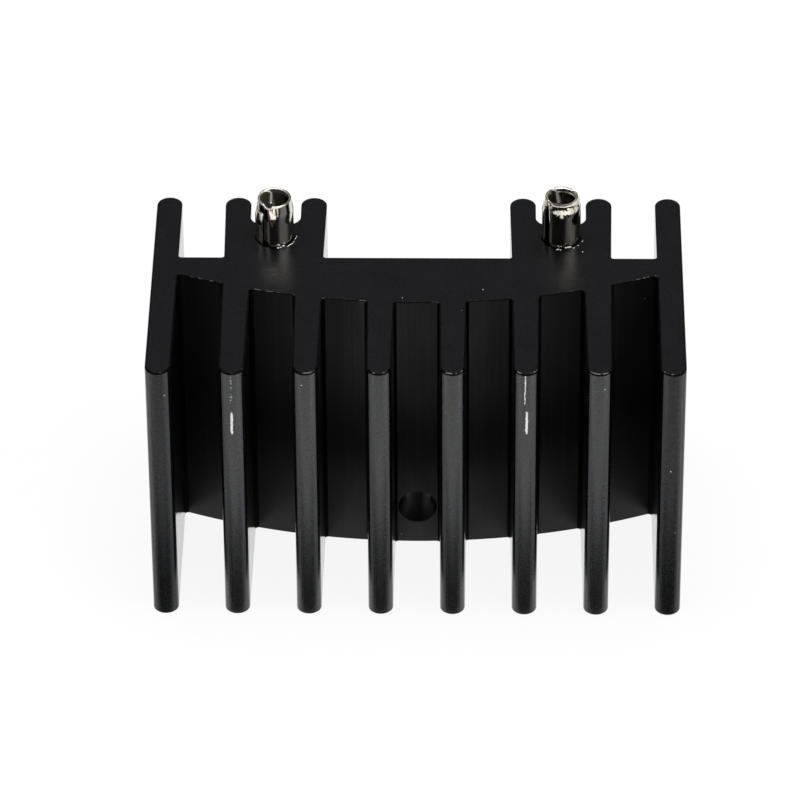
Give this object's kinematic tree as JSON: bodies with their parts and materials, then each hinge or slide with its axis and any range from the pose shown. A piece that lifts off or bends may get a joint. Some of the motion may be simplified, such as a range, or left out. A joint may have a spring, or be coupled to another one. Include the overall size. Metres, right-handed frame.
{
  "type": "board mount extruded heat sink",
  "caption": "Black anodised extruded heat sink with straight fins, a bay for a screwed-on power transistor, and coiled solder pins pressed into one end.",
  "frame": {"origin": "middle of the lower end, at the centre of the overall box", "axes": "+X along the row of fins, +Y from the front fin tips to the transistor side, +Z along the extrusion towards the solder pins"},
  "size_m": [0.0446, 0.0252, 0.0297],
  "materials": {
    "black_anodised": "black anodised, satin",
    "tinned_strip": "tinned, bright"
  },
  "bodies": {
    "root": {"heat_sink": "black_anodised", "solder_pin_left": "tinned_strip", "solder_pin_right": "tinned_strip"}
  },
  "joints": []
}
